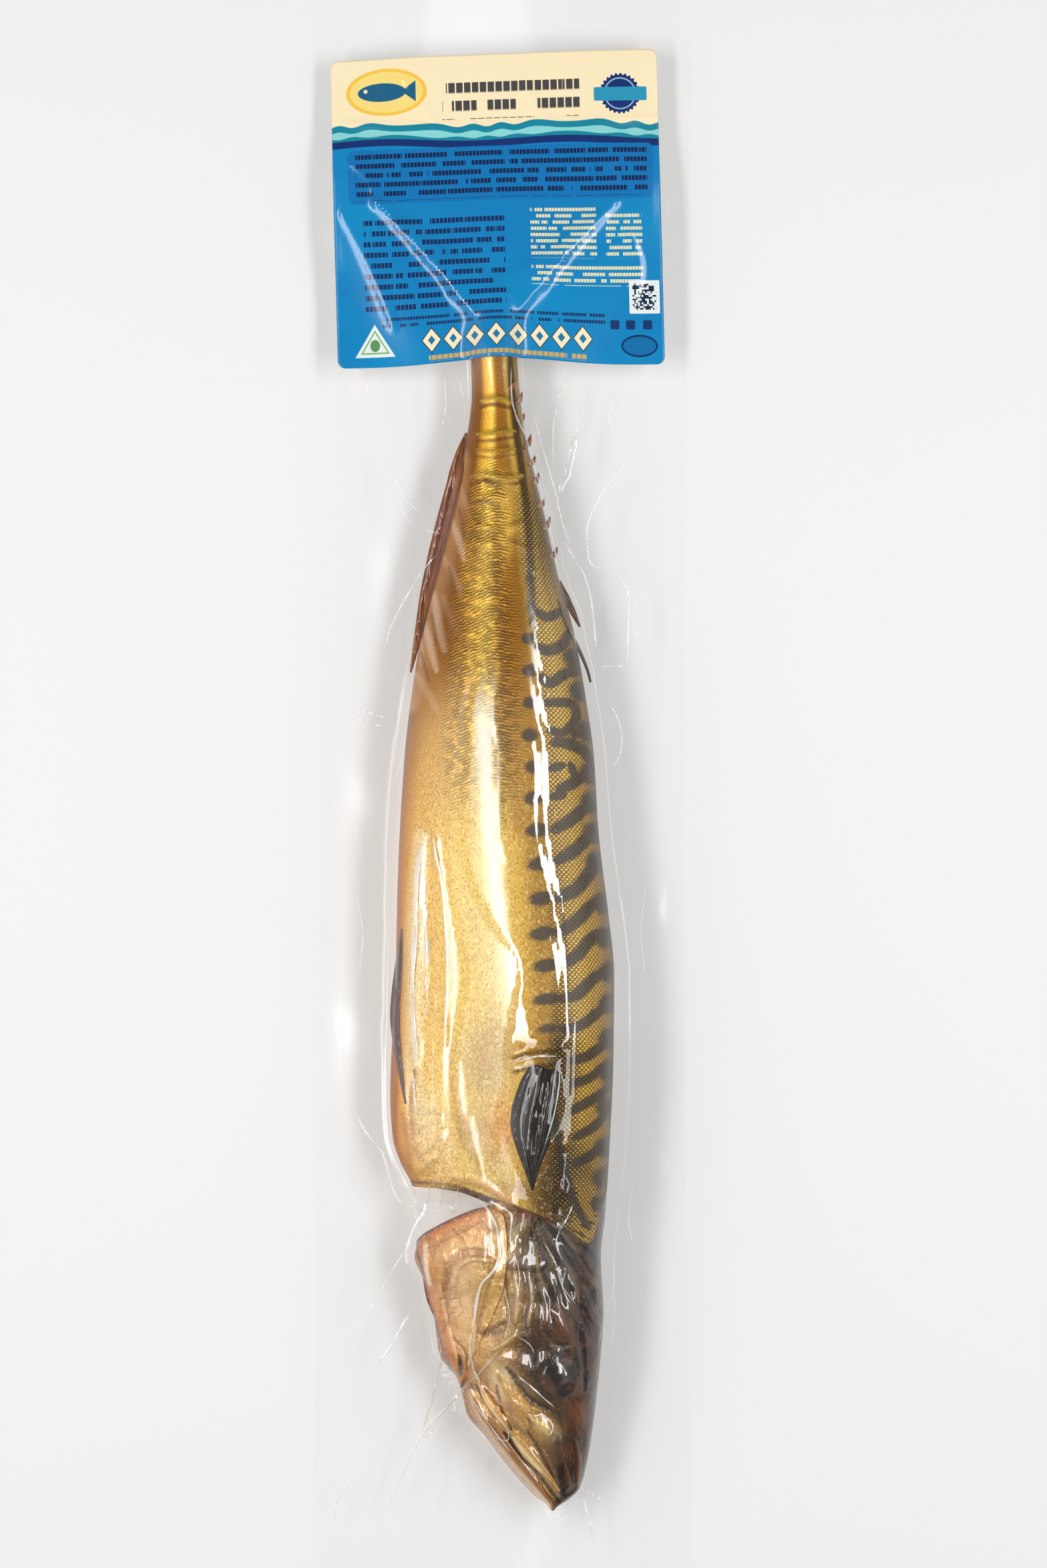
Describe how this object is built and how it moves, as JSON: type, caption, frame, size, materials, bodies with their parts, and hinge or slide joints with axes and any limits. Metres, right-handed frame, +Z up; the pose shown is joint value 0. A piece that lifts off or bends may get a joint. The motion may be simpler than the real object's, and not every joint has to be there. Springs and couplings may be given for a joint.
{
  "type": "vacuum-packed smoked mackerel",
  "caption": "Whole smoked mackerel lying on its side in a long clear vacuum pouch, with a square printed label stuck over the tail.",
  "frame": {"origin": "on the surface that the pack lies on, under the middle of the pack", "axes": "+Y along the pouch towards the fish's tail, +X towards the fish's back, +Z up"},
  "size_m": [0.117, 0.486, 0.0402],
  "materials": {
    "film": "clear glossy vacuum film",
    "skin_gold": "smoked golden skin with a satin metallic sheen",
    "skin_head": "smoked head skin, peach to dark brown, oily",
    "flesh": "cut belly wall and lining, dark smoked flesh",
    "fin": "dry smoked fin with rays",
    "eye": "dark sunken eye",
    "label_print": "glossy printed film label, blue and cream"
  },
  "bodies": {
    "root": {"pouch": "skin_gold", "label": "label_print"}
  },
  "joints": []
}
